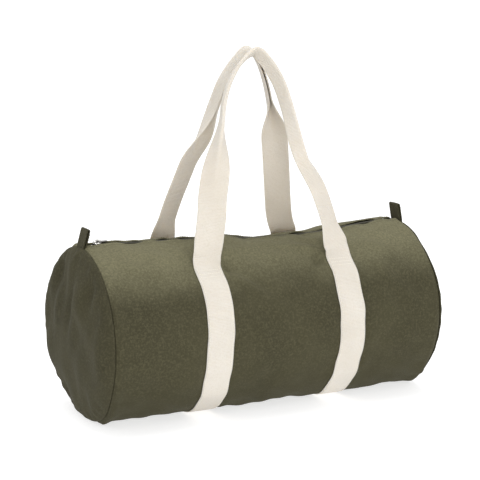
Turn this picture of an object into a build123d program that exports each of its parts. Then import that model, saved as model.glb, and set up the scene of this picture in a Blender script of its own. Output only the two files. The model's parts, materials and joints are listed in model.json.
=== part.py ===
from build123d import *
import os
from math import asin, cos, degrees, radians, sin, sqrt

# Barrel duffel bag: a canvas tube on its side with a zip along the top, a round panel at
# each end and two webbing handles whose straps pass right round the body.
# Millimetres. X runs along the barrel, the front is at -Y and the bag stands on Z = 0.

# ---- Driving dimensions --------------------------------------------------------------
bag_length = 509.0          # between the two end seams
bag_radius = 124.0          # outside of the canvas
canvas = 1.2                # hemmed cotton canvas
webbing_width = 40.0
webbing = 2.0               # thickness of the webbing
strap_spread = 208.0        # between the middles of the two straps
strap_gap = 0.1             # strap clear of the canvas it is sewn on
panel_gap = 0.3             # between an end panel and the tube it closes
end_bulge = 16.0            # how far an end panel swells past its seam
centre_height = 121.0       # axis of the barrel above the ground

# ---- Mouth and zip -------------------------------------------------------------------
mouth_angle = 37.0          # from the top of the barrel down to where a mouth panel hinges
mouth_length = 468.0        # the mouth stays sewn shut past its two ends
mouth_clearance = 0.3       # half of the slot at that hinge, in degrees
lip_angle = 3.0             # from the top down to a mouth panel's free edge
tape = 0.6                  # thickness of the zip's tape
tape_gap = 0.3              # tape clear of the canvas over it
tape_inner_angle = 0.9
tape_outer_angle = 8.0
coil_width = 2.75           # one half of the chain
coil_height = 2.15
coil_split = 0.25           # from the middle line to a half chain
coil_corner = 0.8
coil_short = 26.5           # right end of the chain to the end seam
slider_length = 11.0
slider_width = 8.6
slider_plate = 1.2
slider_corner = 2.2
slider_wall = 0.7
slider_wall_inset = 2.2     # from each end of the slider to its walls
slider_clearance = 0.4      # top plate above the chain
plate_clearance = 0.9       # bottom plate under the tapes
wall_clearance = 0.25       # upper wall above the tapes
lower_wall = 0.5
post_length = 1.7
post_width = 2.4
post_inset = 0.1
slider_nose = -239.5        # left end of the slider when the zip is shut
pull_length = 15.0
pull_width = 6.4
pull_thickness = 1.4
pull_taper = 0.6            # narrower by this on each side at its tip
pull_corner = 2.0
pull_hole = 1.3             # radius
pull_hole_inset = 3.2
pull_window = 7.2
pull_rail = 1.5
pin_radius = 0.8
bridge_width = 2.4
bridge_length = 8.0
bridge_height = 4.0
bridge_window = (5.2, 2.4)
bridge_corner = 1.2
bridge_drop = 0.1           # middle of the bridge below the pin
hinge_lift = 1.3            # pin above the slider's top plate
stop_length = 2.2
stop_corner = 0.5
top_stop_narrower = 0.6
travel = 455.0              # how far the slider runs

# ---- Small pieces --------------------------------------------------------------------
binding_width = 7.0
binding = 1.5
loop_width = 25.0
loop_height = 23.0
loop_wall = 1.5
loop_slit = 1.2
loop_lean = 17.0            # each end loop leans in over the zip, in degrees
loop_base = 2.2             # lower end of a loop above the canvas
label_size = 10.0
label_reach = 9.0
label_thickness = 0.8
label_angle = 79.0          # round from the top, on the front

# ---- Handles -------------------------------------------------------------------------
handle_offset = 3.2         # hinge line outside the canvas
handle_top = 509.0          # fold of the grip above the ground
handle_top_reach = 19.5     # the grip's fold from the middle plane
handle_turn = 26.0          # each leg turns its face outwards by this, in degrees
turned_height = 320.0       # height where a leg has turned fully
fold_start = 350.0          # height where the webbing begins to fold in half
fold_end = 425.0            # height where it is shut and sewn into a grip
fold_limit = 86.0           # each half turns this far, in degrees
fold_least = 2.0            # slight trough that the open webbing keeps
strap_end_angle = 38.5      # sewn strap stops here, from the top
stitch_box_width = 30.0     # box of stitching at each handle's foot
stitch_line = 1.2
stitch_low_angle = 40.0
stitch_high_angle = 47.0
stitch_line_angle = 0.6     # a line of the box, in degrees round the barrel
stitch_height = 0.5

half_length = bag_length / 2
strap_x = strap_spread / 2
canvas_inside = bag_radius - canvas
base_height = webbing
strap_radius = bag_radius + strap_gap + webbing
coil_end = half_length - coil_short
side_sign = {"front": -1, "rear": 1}
end_sign = {"left": -1, "right": 1}


def barrel_point(radius, angle, side=1):
    """Point in the (Y, Z) plane at an angle from the top of the barrel."""
    turn = radians(angle)
    return (side * radius * sin(turn), centre_height + radius * cos(turn))


def barrel_sheet(radius, base, thickness):
    """Draws a sheet wrapped round the barrel, with a flat underside, in the open sketch."""
    with Locations((0, centre_height)):
        Circle(radius)
    with Locations((0, base)):
        Rectangle(4 * radius, 3 * radius, align=(Align.CENTER, Align.MIN), mode=Mode.INTERSECT)
    offset(amount=-thickness, kind=Kind.INTERSECTION, mode=Mode.SUBTRACT)


def top_sector(low, high, side=None, mode=Mode.INTERSECT):
    """Wedge about the barrel's axis: between two angles on one side, or up to high on both."""
    far = 4 * bag_radius
    if side is None:
        corners = (barrel_point(far, high), barrel_point(far, high, -1))
    else:
        corners = (barrel_point(far, low, side), barrel_point(far, high, side))
    Polygon((0, centre_height), *corners, align=None, mode=mode)


def arc_strip(inner, outer, low, high, side):
    """Draws part of a ring about the barrel's axis in the open sketch."""
    with Locations((0, centre_height)):
        Circle(outer)
        Circle(inner, mode=Mode.SUBTRACT)
    top_sector(low, high, side)


def write(part, name):
    """Labels a finished piece and saves it as its own file."""
    part.label = name
    export_step(part, f"parts/{name}.step")


os.makedirs("parts", exist_ok=True)

# ---- Canvas --------------------------------------------------------------------------
# The tube runs under the bag from one side of the mouth to the other, and closes round the
# zip past both ends of the mouth.
tube_half = half_length - canvas - panel_gap
mouth_half = mouth_length / 2
with BuildPart() as body_panel:
    with BuildSketch(Plane.YZ.offset(-tube_half)):
        barrel_sheet(bag_radius, base_height, canvas)
        top_sector(0, lip_angle, mode=Mode.SUBTRACT)
    extrude(amount=2 * tube_half)
    with BuildSketch(Plane.YZ.offset(-mouth_half)):
        top_sector(0, mouth_angle + mouth_clearance, mode=Mode.ADD)
    extrude(amount=2 * mouth_half, mode=Mode.SUBTRACT)
write(body_panel.part, "body_panel")

# The two mouth panels carry the zip's tapes on their free edges.
lip_half = mouth_half - panel_gap
for side in side_sign:
    with BuildPart() as mouth_panel:
        with BuildSketch(Plane.YZ.offset(-lip_half)):
            arc_strip(canvas_inside, bag_radius, lip_angle, mouth_angle - mouth_clearance, side_sign[side])
        extrude(amount=2 * lip_half)
    write(mouth_panel.part, f"mouth_panel_{side}")

# Each end panel is a shallow dome, cut level with the flat underside of the tube.
dome_radius = (bag_radius**2 + end_bulge**2) / (2 * end_bulge)
dome_inside = dome_radius - canvas
dome_centre = half_length + end_bulge - dome_radius
for end in end_sign:
    with BuildPart() as end_panel:
        with BuildSketch(Plane.XZ):
            with BuildLine():
                outside = CenterArc((dome_centre, centre_height), dome_radius, 0,
                                    degrees(asin(bag_radius / dome_radius)))
                inside = CenterArc((dome_centre, centre_height), dome_inside, 0,
                                   degrees(asin(bag_radius / dome_inside)))
                Line(outside @ 0, inside @ 0)
                Line(outside @ 1, inside @ 1)
            make_face()
        revolve(axis=Axis((0, 0, centre_height), (1, 0, 0)))
        split(bisect_by=Plane.XY.offset(base_height), keep=Keep.TOP)
        if end == "left":
            mirror(about=Plane.YZ, mode=Mode.REPLACE)
    write(end_panel.part, f"end_panel_{end}")

# Binding tape over the seam allowance, inside each end.
binding_radius = canvas_inside - panel_gap
for end in end_sign:
    middle = end_sign[end] * (tube_half - panel_gap - binding_width / 2)
    with BuildPart() as seam_binding:
        with BuildSketch(Plane.YZ.offset(middle - binding_width / 2)):
            barrel_sheet(binding_radius, base_height + canvas + panel_gap, binding)
        extrude(amount=binding_width)
    write(seam_binding.part, f"seam_binding_{end}")

# ---- Zip -----------------------------------------------------------------------------
tape_outside = canvas_inside - tape_gap
tape_half = tube_half - binding_width - 2 * panel_gap
coil_bottom = centre_height + tape_outside + tape_gap
for side in side_sign:
    with BuildPart() as zip_tape:
        with BuildSketch(Plane.YZ.offset(-tape_half)):
            arc_strip(tape_outside - tape, tape_outside, tape_inner_angle, tape_outer_angle,
                      side_sign[side])
        extrude(amount=2 * tape_half)
    write(zip_tape.part, f"zip_tape_{side}")

    # Half of the chain, as the bar that its wound coil fills.
    coil_start = slider_nose + post_length + panel_gap
    with BuildPart() as zip_coil:
        with BuildSketch(Plane.YZ.offset(coil_start)):
            with Locations((side_sign[side] * (coil_split + coil_width / 2), coil_bottom + coil_height / 2)):
                RectangleRounded(coil_width, coil_height, coil_corner)
        extrude(amount=coil_end - coil_start)
    write(zip_coil.part, f"zip_coil_{side}")

    # Metal stop crimped on the end of each tape, in front of the slider.
    with BuildPart() as zip_top_stop:
        with BuildSketch(Plane.YZ.offset(slider_nose - stop_length - 2 * panel_gap)):
            with Locations((side_sign[side] * (coil_split + coil_width / 2), coil_bottom + coil_height / 2)):
                RectangleRounded(coil_width - top_stop_narrower, coil_height, stop_corner)
        extrude(amount=stop_length)
    write(zip_top_stop.part, f"zip_top_stop_{side}")

with BuildPart() as zip_bottom_stop:
    with BuildSketch(Plane.YZ.offset(coil_end + panel_gap)):
        with Locations((0, coil_bottom + coil_height / 2)):
            RectangleRounded(2 * coil_width, coil_height, coil_corner)
    extrude(amount=stop_length)
write(zip_bottom_stop.part, "zip_bottom_stop")

# Slider: two plates joined by a post at the nose, with walls that hold the chain in.
top_plate_low = coil_bottom + coil_height + slider_clearance
bottom_plate_top = centre_height + tape_outside - tape - plate_clearance
slider_middle = slider_nose + slider_length / 2
hinge_height = top_plate_low + slider_plate + hinge_lift
wall_y = slider_width / 2 - slider_wall / 2
with BuildPart() as zip_slider:
    for low in (top_plate_low, bottom_plate_top - slider_plate):
        with BuildSketch(Plane.XY.offset(low)):
            with Locations((slider_middle, 0)):
                RectangleRounded(slider_length, slider_width, slider_corner)
        extrude(amount=slider_plate)
    with BuildSketch(Plane.XY.offset(bottom_plate_top)):
        with Locations((slider_nose + post_length / 2 + post_inset, 0)):
            SlotOverall(post_width, post_length - 2 * post_inset, rotation=90)
    extrude(amount=top_plate_low - bottom_plate_top)
    upper_walls = (coil_bottom + wall_clearance, top_plate_low)
    lower_walls = (bottom_plate_top, bottom_plate_top + lower_wall)
    for wall_low, wall_high in (upper_walls, lower_walls):
        with BuildSketch(Plane.XY.offset(wall_low)):
            with Locations((slider_middle, wall_y), (slider_middle, -wall_y)):
                Rectangle(slider_length - 2 * slider_wall_inset, slider_wall)
        extrude(amount=wall_high - wall_low)
    # Bridge that the pull hangs on.
    with BuildSketch(Plane.XZ):
        with Locations((slider_middle, hinge_height - bridge_drop)):
            Rectangle(bridge_length, bridge_height)
            Rectangle(*bridge_window, mode=Mode.SUBTRACT)
        fillet(vertices().group_by(Axis.Z)[-1].sort_by(Axis.X)[0], bridge_corner)
        fillet(vertices().group_by(Axis.Z)[-1].sort_by(Axis.X)[-1], bridge_corner)
    extrude(amount=bridge_width / 2, both=True)
write(zip_slider.part, "zip_slider")

# Pull: a flat tab with a window round the bridge, a pin across it and a hole at the tip.
pull_tip = slider_middle + pull_length
with BuildPart() as zip_pull:
    with BuildSketch(Plane.XY.offset(hinge_height - pull_thickness / 2)):
        with BuildLine():
            Polyline(
                (slider_middle, pull_width / 2),
                (pull_tip, pull_width / 2 - pull_taper),
                (pull_tip, -pull_width / 2 + pull_taper),
                (slider_middle, -pull_width / 2),
                close=True,
            )
        make_face()
        fillet(vertices().group_by(Axis.X)[-1], pull_corner)
        with Locations((slider_middle, 0)):
            Rectangle(pull_window, pull_width - 2 * pull_rail, align=(Align.MIN, Align.CENTER),
                      mode=Mode.SUBTRACT)
        with Locations((pull_tip - pull_hole_inset, 0)):
            Circle(pull_hole, mode=Mode.SUBTRACT)
    extrude(amount=pull_thickness)
    with BuildSketch(Plane.XZ):
        with Locations((slider_middle, hinge_height)):
            Circle(pin_radius)
    extrude(amount=pull_width / 2, both=True)
write(zip_pull.part, "zip_pull")

# ---- Webbing -------------------------------------------------------------------------
# Sewn run of each strap, from one handle's foot under the bag to the other handle's foot.
for end in end_sign:
    with BuildPart() as strap:
        with BuildSketch(Plane.YZ.offset(end_sign[end] * strap_x - webbing_width / 2)):
            barrel_sheet(strap_radius, 0, webbing)
            top_sector(0, strap_end_angle, mode=Mode.SUBTRACT)
        extrude(amount=webbing_width)
    write(strap.part, f"strap_{end}")

# Box of stitching that takes the load at each handle's foot.
for side in side_sign:
    for end in end_sign:
        with BuildPart() as box_stitch:
            with BuildSketch(Plane.YZ.offset(end_sign[end] * strap_x - stitch_box_width / 2)):
                arc_strip(strap_radius + strap_gap, strap_radius + strap_gap + stitch_height,
                          stitch_low_angle, stitch_high_angle, side_sign[side])
            extrude(amount=stitch_box_width)
            with BuildSketch(Plane.YZ.offset(end_sign[end] * strap_x - stitch_box_width / 2 + stitch_line)):
                arc_strip(strap_radius - webbing, strap_radius + 2 * webbing,
                          stitch_low_angle + stitch_line_angle, stitch_high_angle - stitch_line_angle,
                          side_sign[side])
            extrude(amount=stitch_box_width - 2 * stitch_line, mode=Mode.SUBTRACT)
        write(box_stitch.part, f"box_stitch_{side}_{end}")

# Handles. The webbing rises flat from its foot, folds in half along its length with the
# open edges towards the other handle, and is sewn like that over the top as a grip.
hinge_y, hinge_z = barrel_point(bag_radius + handle_offset, mouth_angle)
rise_y = handle_top_reach - hinge_y
rise_z = handle_top - hinge_z
lean_length = sqrt(rise_y**2 + rise_z**2)


def ease(share):
    """0 up to 0, 1 from 1 and a smooth step between."""
    share = min(1, max(0, share))
    return share**2 * (3 - 2 * share)


def handle_plane(position, heading, side):
    """Section plane of a handle: local X across the webbing, local Y away from the bag."""
    share = abs(position.Z - hinge_z) / rise_z
    origin = (position.X, side * (hinge_y + rise_y * share), position.Z)
    along = Vector(heading.X, side * heading.Z * rise_y / rise_z, heading.Z).normalized()
    outward = Vector(0, side * rise_z, -rise_y) * (1 / lean_length)
    turn = radians(handle_turn) * ease((position.Z - hinge_z) / (turned_height - hinge_z))
    across = outward.cross(along) * cos(turn) + outward * (side * sin(turn))
    return Plane(origin=origin, x_dir=across, z_dir=along)


def folded_section(turn):
    """Corners of the webbing with each half turned inwards by an angle in degrees."""
    a = radians(turn)
    half = webbing_width / 2
    skin = webbing / 2
    right = [
        (skin, skin * cos(a)),
        (half * cos(a) + skin * sin(a), -half * sin(a) + skin * cos(a)),
        (half * cos(a) - skin * sin(a), -half * sin(a) - skin * cos(a)),
    ]
    left = [(-x, y) for x, y in reversed(right)]
    return right + [(0, -skin / cos(a))] + left


# Line of the grip's fold, drawn in the XZ plane from the left foot over to the right foot.
leg = [(strap_x, hinge_z), (90.0, 285.0), (64.0, 380.0), (47.0, 446.0), (23.0, 491.0)]
with BuildLine(Plane.XZ) as arch:
    Spline(*[(-x, z) for x, z in leg], (0, handle_top), *[(x, z) for x, z in reversed(leg)],
           tangents=[(0.12, 1), (0.12, -1)])
arch_line = arch.edge()
section_count = 40
for side in side_sign:
    with BuildPart() as handle:
        for step in range(section_count + 1):
            spot = arch_line @ (step / section_count)
            heading = arch_line % (step / section_count)
            turn = fold_least + (fold_limit - fold_least) * ease(
                (spot.Z - fold_start) / (fold_end - fold_start))
            with BuildSketch(handle_plane(spot, heading, side_sign[side])):
                with BuildLine():
                    Polyline(*folded_section(turn), close=True)
                make_face()
        loft(ruled=True)
    write(handle.part, f"handle_{side}")

# ---- Trim at the ends ----------------------------------------------------------------
# Folded canvas loop over the zip's end: a strip doubled back on itself, open at its foot.
for end in end_sign:
    sign = end_sign[end]
    lean = radians(loop_lean)
    up = Vector(-sign * sin(lean), 0, cos(lean))
    foot = (sign * half_length, 0, centre_height + bag_radius + loop_base)
    loop_thickness = 2 * loop_wall + loop_slit
    with BuildPart() as end_loop:
        with BuildSketch(Plane(origin=foot, x_dir=up, z_dir=(0, 1, 0))):
            Rectangle(loop_height - loop_thickness / 2, loop_thickness, align=(Align.MIN, Align.CENTER))
            with Locations((loop_height - loop_thickness / 2, 0)):
                Circle(loop_thickness / 2)
                Circle(loop_slit / 2, mode=Mode.SUBTRACT)
            Rectangle(loop_height - loop_thickness / 2, loop_slit, align=(Align.MIN, Align.CENTER),
                      mode=Mode.SUBTRACT)
        extrude(amount=loop_width / 2, both=True)
    write(end_loop.part, f"end_loop_{end}")

# Blank woven label caught in the right end seam, on the front.
label_y, label_z = barrel_point(bag_radius - canvas, label_angle, side_sign["front"])
label_normal = Vector(0, label_y, label_z - centre_height).normalized()
label_foot = (half_length + 4 * panel_gap, label_y, label_z)
with BuildPart() as side_label:
    with BuildSketch(Plane(origin=label_foot, x_dir=(1, 0, 0), z_dir=label_normal)):
        Rectangle(label_reach, label_size, align=(Align.MIN, Align.CENTER))
    extrude(amount=label_thickness)
write(side_label.part, "side_label")
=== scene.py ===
import json
from math import cos, degrees, pi, radians, sin, sqrt

import bmesh
import bpy
import numpy as np
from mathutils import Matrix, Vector


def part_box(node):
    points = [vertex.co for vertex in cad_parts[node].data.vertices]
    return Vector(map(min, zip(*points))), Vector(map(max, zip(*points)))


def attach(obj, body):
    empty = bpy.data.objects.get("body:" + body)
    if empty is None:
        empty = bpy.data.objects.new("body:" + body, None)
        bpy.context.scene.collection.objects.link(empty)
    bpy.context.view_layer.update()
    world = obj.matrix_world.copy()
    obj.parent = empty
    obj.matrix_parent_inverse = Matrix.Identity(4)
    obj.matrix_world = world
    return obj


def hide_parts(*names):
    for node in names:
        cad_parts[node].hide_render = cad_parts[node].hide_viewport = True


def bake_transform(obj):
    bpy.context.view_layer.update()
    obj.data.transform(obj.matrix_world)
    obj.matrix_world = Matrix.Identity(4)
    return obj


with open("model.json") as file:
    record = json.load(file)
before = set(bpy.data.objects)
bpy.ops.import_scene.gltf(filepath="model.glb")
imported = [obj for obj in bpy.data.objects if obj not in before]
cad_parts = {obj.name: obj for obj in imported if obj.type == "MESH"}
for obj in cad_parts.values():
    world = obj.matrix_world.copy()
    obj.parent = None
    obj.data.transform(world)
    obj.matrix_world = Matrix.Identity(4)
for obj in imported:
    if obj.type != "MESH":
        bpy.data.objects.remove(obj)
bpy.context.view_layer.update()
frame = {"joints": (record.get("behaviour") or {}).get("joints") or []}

# Metres throughout. X runs along the barrel, the front is at -Y and the bag stands on Z = 0.
MM = 0.001
SEED = 7

# ---- Sizes read from the frame ---------------------------------------------------------
joints = {j["name"]: j for j in frame["joints"]}
tube_low, tube_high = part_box("body_panel")
RADIUS = (tube_high.y - tube_low.y) / 2
AXIS_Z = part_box("end_panel_right")[1].z - RADIUS
HALF_LENGTH = joints["right_loop_bend"]["pos_m"][0]
strap_low, strap_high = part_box("strap_right")
STRAP_X = (strap_low.x + strap_high.x) / 2
WEBBING_WIDTH = strap_high.x - strap_low.x
HANDLE_PIVOT = joints["rear_handle_swing"]["pos_m"]

# ---- Sizes of the sewn pieces ----------------------------------------------------------
CANVAS = 1.1 * MM
WEBBING = 1.9 * MM
MOUTH_ANGLE = 37.0          # degrees from the top to the feet of the handles
LIP_HALF = 6.3 * MM         # half of the gap between the canvas edges over the zip
TAPE_DROP = 2.5 * MM        # zip tape below the canvas
SEAM_DEPTH = 4.0 * MM       # how far the end seams sink below the canvas beside them
SEAM_EDGE = 1.4 * MM        # the canvas's last millimetres below the plain barrel
SEAM_GROOVE = 5.0 * MM      # how far the very edge turns in to the seam
SAG = 8.5 * MM              # dip of the zip between the straps
SWELL = 3.6 * MM            # how far the lower flanks swell out
DIMPLE = 8.5 * MM           # dimples on the inner side of each handle's foot
SIDE_DIMPLE = 4.5 * MM      # and on its outer side
CREASE = 3.6 * MM           # fold that runs down from each dimple
RIDGE = 3.0 * MM            # raised cloth beside that fold
UPPER_RIDGE = 2.4 * MM      # raised cloth that runs from the foot to the zip
PACKED_OUT = 5.5 * MM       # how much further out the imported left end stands
SLUMP = 3.2 * MM            # how far the right end's shoulder falls back
LOWER_REACH = 4.0 * MM      # how much further out the right end stands below
END_BULGE = {"left": 19.5 * MM, "right": 10.0 * MM}     # of each end panel past its seam
COIL_HALF_WIDTH = 2.75 * MM
COIL_HEIGHT = 2.1 * MM
COIL_PITCH = 1.27 * MM

SIDES = {"front": -1, "rear": 1}
ENDS = {"left": -1, "right": 1}
EDGES = {-1: "a", 1: "b"}


# ---- Small maths -----------------------------------------------------------------------
def smooth(t):
    """0 below 0, 1 above 1 and a smooth step between."""
    t = np.clip(t, 0.0, 1.0)
    return t * t * (3 - 2 * t)


def bump(value, centre, width):
    """Bell of height 1 at centre."""
    return np.exp(-(((value - centre) / width) ** 2))


def waves(u, v, count, low, high, seed):
    """Smooth irregular field of height about 1: waves with lengths from low to high."""
    draw = np.random.default_rng(seed)
    total = np.zeros(np.broadcast(u, v).shape)
    for _ in range(count):
        length = np.exp(draw.uniform(np.log(low), np.log(high)))
        turn = draw.uniform(0, pi)
        phase = draw.uniform(0, 2 * pi)
        total = total + np.sin((u * cos(turn) + v * sin(turn)) * 2 * pi / length + phase)
    return total / sqrt(count)


def unit(vectors):
    """The same directions, each with a length of 1."""
    return vectors / np.linalg.norm(vectors, axis=1)[:, None]


def run_along(line):
    """How far along a line each of its points lies."""
    return np.concatenate([[0.0], np.cumsum(np.linalg.norm(np.diff(line, axis=0), axis=1))])


def value_at(distance, run, values):
    """The row of values at a distance along a line."""
    return np.stack([np.interp(distance, run, values[:, k]) for k in range(values.shape[1])], axis=-1)


def ground(z, lift):
    """Keeps heights above lift, with a soft corner where the cloth meets the ground."""
    corner = 1.8 * MM
    return lift + corner * np.logaddexp(0.0, (z - lift) / corner)


def mesh_object(name, points, faces, material):
    mesh = bpy.data.meshes.new(name)
    mesh.from_pydata([tuple(p) for p in points], [], faces)
    mesh.update()
    mesh.polygons.foreach_set("use_smooth", [True] * len(mesh.polygons))
    obj = bpy.data.objects.new(name, mesh)
    bpy.context.scene.collection.objects.link(obj)
    obj.data.materials.append(material)
    return obj


def grid_faces(rows, columns, wrap_columns=False, wrap_rows=False, flip=False, offset=0):
    """Quads of a grid whose points run row by row."""
    faces = []
    for i in range(rows if wrap_rows else rows - 1):
        for j in range(columns if wrap_columns else columns - 1):
            a = i * columns + j
            b = i * columns + (j + 1) % columns
            c = ((i + 1) % rows) * columns + (j + 1) % columns
            d = ((i + 1) % rows) * columns + j
            quad = (a, b, c, d) if not flip else (d, c, b, a)
            faces.append(tuple(q + offset for q in quad))
    return faces


def lay_uv(obj, u, v):
    """Stores u and v, in metres and one of each for every point, as the piece's UV map."""
    uv = np.stack(np.broadcast_arrays(u, v), axis=-1).reshape(-1, 2).astype(np.float32)
    layer = obj.data.uv_layers.new(name="UVMap")
    index = np.zeros(len(obj.data.loops), dtype=np.int32)
    obj.data.loops.foreach_get("vertex_index", index)
    layer.data.foreach_set("uv", uv[index].ravel())


def thicken(obj, thickness, offset=-1.0):
    """Gives a one-sided sheet its thickness."""
    modifier = obj.modifiers.new("thickness", "SOLIDIFY")
    modifier.thickness = thickness
    modifier.offset = offset
    modifier.use_even_offset = False


# ---- Materials -------------------------------------------------------------------------
class Nodes:
    """Shorthand for a material's node tree."""

    def __init__(self, name):
        self.material = bpy.data.materials.new(name)
        self.material.use_nodes = True
        self.tree = self.material.node_tree
        self.tree.nodes.clear()
        self.shader = self.add("ShaderNodeBsdfPrincipled")
        output = self.add("ShaderNodeOutputMaterial")
        self.tree.links.new(self.shader.outputs["BSDF"], output.inputs["Surface"])

    def add(self, kind, **values):
        node = self.tree.nodes.new(kind)
        for key, value in values.items():
            setattr(node, key, value)
        return node

    def feed(self, value, socket):
        """Links a value to one of the shader's sockets."""
        self.tree.links.new(value, self.shader.inputs[socket])

    @staticmethod
    def set(node, **values):
        for key, value in values.items():
            node.inputs[key.replace("_", " ")].default_value = value
        return node

    def math(self, operation, a, b=None):
        node = self.add("ShaderNodeMath", operation=operation)
        for slot, value in enumerate((a, b)):
            if value is None:
                continue
            if isinstance(value, (int, float)):
                node.inputs[slot].default_value = value
            else:
                self.tree.links.new(value, node.inputs[slot])
        return node.outputs[0]

    def noise(self, vector, scale, detail=3.0, roughness=0.55):
        node = self.add("ShaderNodeTexNoise")
        self.set(node, Scale=scale, Detail=detail, Roughness=roughness)
        self.tree.links.new(vector, node.inputs["Vector"])
        return node.outputs["Fac"]

    def mix(self, factor, a, b):
        node = self.add("ShaderNodeMix", data_type="RGBA")
        for socket, value in ((node.inputs[0], factor), (node.inputs[6], a), (node.inputs[7], b)):
            if isinstance(value, (int, float)):
                socket.default_value = value
            elif isinstance(value, tuple):
                socket.default_value = (*value, 1.0)
            else:
                self.tree.links.new(value, socket)
        return node.outputs[2]

    def bump(self, height, distance, strength):
        node = self.add("ShaderNodeBump")
        self.set(node, Distance=distance, Strength=strength)
        self.tree.links.new(height, node.inputs["Height"])
        return node.outputs["Normal"]

    def place(self):
        """Position on the piece at rest, in metres."""
        node = self.add("ShaderNodeTexCoord")
        return node.outputs["Object"]

    def uv(self):
        node = self.add("ShaderNodeUVMap", uv_map="UVMap")
        parts = self.add("ShaderNodeSeparateXYZ")
        self.tree.links.new(node.outputs["UV"], parts.inputs[0])
        return parts.outputs[0], parts.outputs[1]

    def contrast(self, value, low, high):
        node = self.add("ShaderNodeMapRange")
        self.set(node, From_Min=low, From_Max=high)
        self.tree.links.new(value, node.inputs[0])
        return node.outputs[0]


def plain_weave(n, u, v, pitch_u, pitch_v):
    """Height of a plain weave, 0 to 1: threads over and under each other."""
    su = n.math("SINE", n.math("MULTIPLY", u, pi / pitch_u))
    sv = n.math("SINE", n.math("MULTIPLY", v, pi / pitch_v))
    crossing = n.math("MULTIPLY", su, sv)
    threads = n.math("MAXIMUM", n.math("ABSOLUTE", su), n.math("ABSOLUTE", sv))
    return n.math("ADD", n.math("MULTIPLY", crossing, 0.35), threads)


PAINTED_LIGHT_HEIGHTS = (0.186, 0.252)       # between these heights the canvas goes over to a lighter tone: painted light on the top of the bag
PAINTED_SHADE_HEIGHTS = (0.120, 0.030)      # and between these, going down, to its dark one: painted shade towards the bottom


def woven_cloth(name, dark, mid, light, thread, sheen, weave_depth, rough=0.92, painted_top_light=None):
    """Woven cloth in three tones with its weave and slubs; the optional fourth tone is painted light on top
    of the bag, and with it the lower part gets painted shade.
    """
    n = Nodes(name)
    place = n.place()
    u, v = n.uv()
    soft = n.noise(place, 11.0, 3.0)
    fine = n.noise(place, 330.0, 4.0, 0.75)
    grain = n.noise(place, 1300.0, 2.0, 0.8)
    colour = n.mix(n.contrast(soft, 0.36, 0.66), dark, mid)
    colour = n.mix(n.math("MULTIPLY", n.contrast(fine, 0.46, 0.68), 0.75), colour, light)
    colour = n.mix(n.math("MULTIPLY", n.contrast(grain, 0.5, 0.8), 0.45), colour, dark)
    if painted_top_light is not None:
        height = n.add("ShaderNodeSeparateXYZ")
        n.tree.links.new(place, height.inputs[0])
        patchy = n.math("ADD", height.outputs[2], n.math("MULTIPLY", n.noise(place, 26.0, 3.0), 0.030))
        # Painted light: towards the top of the bag the cloth goes over to the lighter tone, in streaks.
        top = n.add("ShaderNodeMapRange", interpolation_type="SMOOTHSTEP")
        n.set(top, From_Min=PAINTED_LIGHT_HEIGHTS[0], From_Max=PAINTED_LIGHT_HEIGHTS[1])
        n.tree.links.new(patchy, top.inputs[0])
        streak = n.math("ADD", n.math("MULTIPLY", n.contrast(fine, 0.40, 0.70), 0.5), 0.5)
        colour = n.mix(n.math("MULTIPLY", top.outputs[0], streak), colour, painted_top_light)
        # Painted shade: going down, the cloth goes over to its dark tone.
        low = n.add("ShaderNodeMapRange", interpolation_type="SMOOTHSTEP")
        n.set(low, From_Min=PAINTED_SHADE_HEIGHTS[0], From_Max=PAINTED_SHADE_HEIGHTS[1], To_Max=0.55)
        n.tree.links.new(patchy, low.inputs[0])
        colour = n.mix(low.outputs[0], colour, dark)
    weave = plain_weave(n, u, v, thread, thread)
    n.feed(colour, "Base Color")
    slub = n.math("ADD", weave, n.math("MULTIPLY", fine, 0.8))
    n.feed(n.bump(slub, weave_depth, 0.8), "Normal")
    roughness = n.math("ADD", n.math("MULTIPLY", fine, 0.12), rough - 0.06)
    n.feed(roughness, "Roughness")
    n.set(n.shader, Sheen_Weight=sheen, Sheen_Roughness=0.55, Specular_IOR_Level=0.25)
    n.shader.inputs["Sheen Tint"].default_value = (*light, 1.0)
    return n.material


def webbing_cloth(name):
    """Heavy natural cotton webbing: ribs across it, warp columns along it."""
    rib_pitch, column_pitch = 2.0 * MM, 1.45 * MM
    n = Nodes(name)
    place = n.place()
    u, v = n.uv()
    soft = n.noise(place, 14.0, 2.0)
    fine = n.noise(place, 460.0, 3.0, 0.7)
    colour = n.mix(n.contrast(soft, 0.35, 0.7), (0.615, 0.575, 0.515), (0.675, 0.638, 0.580))
    colour = n.mix(n.math("MULTIPLY", n.contrast(fine, 0.45, 0.75), 0.45), colour, (0.53, 0.475, 0.39))
    wander = n.math("MULTIPLY", n.noise(place, 90.0, 2.0), 0.0012)
    ribs = n.math("ABSOLUTE", n.math("SINE", n.math("MULTIPLY", n.math("ADD", v, wander), pi / rib_pitch)))
    columns = n.math("ABSOLUTE", n.math("SINE", n.math("MULTIPLY", u, pi / column_pitch)))
    weave = n.math("ADD", ribs, n.math("MULTIPLY", columns, 0.6))
    # Painted shade: the colour darkens in the weave's valleys, between ribs and columns.
    painted_valley_shade = n.math("MULTIPLY", n.contrast(weave, 1.05, 0.25), 0.62)
    colour = n.mix(painted_valley_shade, colour, (0.56, 0.485, 0.375))
    n.feed(colour, "Base Color")
    height = n.math("ADD", weave, n.math("MULTIPLY", fine, 0.5))
    n.feed(n.bump(height, 0.35 * MM, 1.0), "Normal")
    n.set(n.shader, Subsurface_Weight=0.45, Subsurface_Scale=4 * MM, Roughness=0.9)
    n.set(n.shader, Sheen_Weight=0.10, Sheen_Roughness=0.5, Specular_IOR_Level=0.2)
    n.shader.inputs["Subsurface Radius"].default_value = (1.0, 0.9, 0.75)
    return n.material


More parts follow.
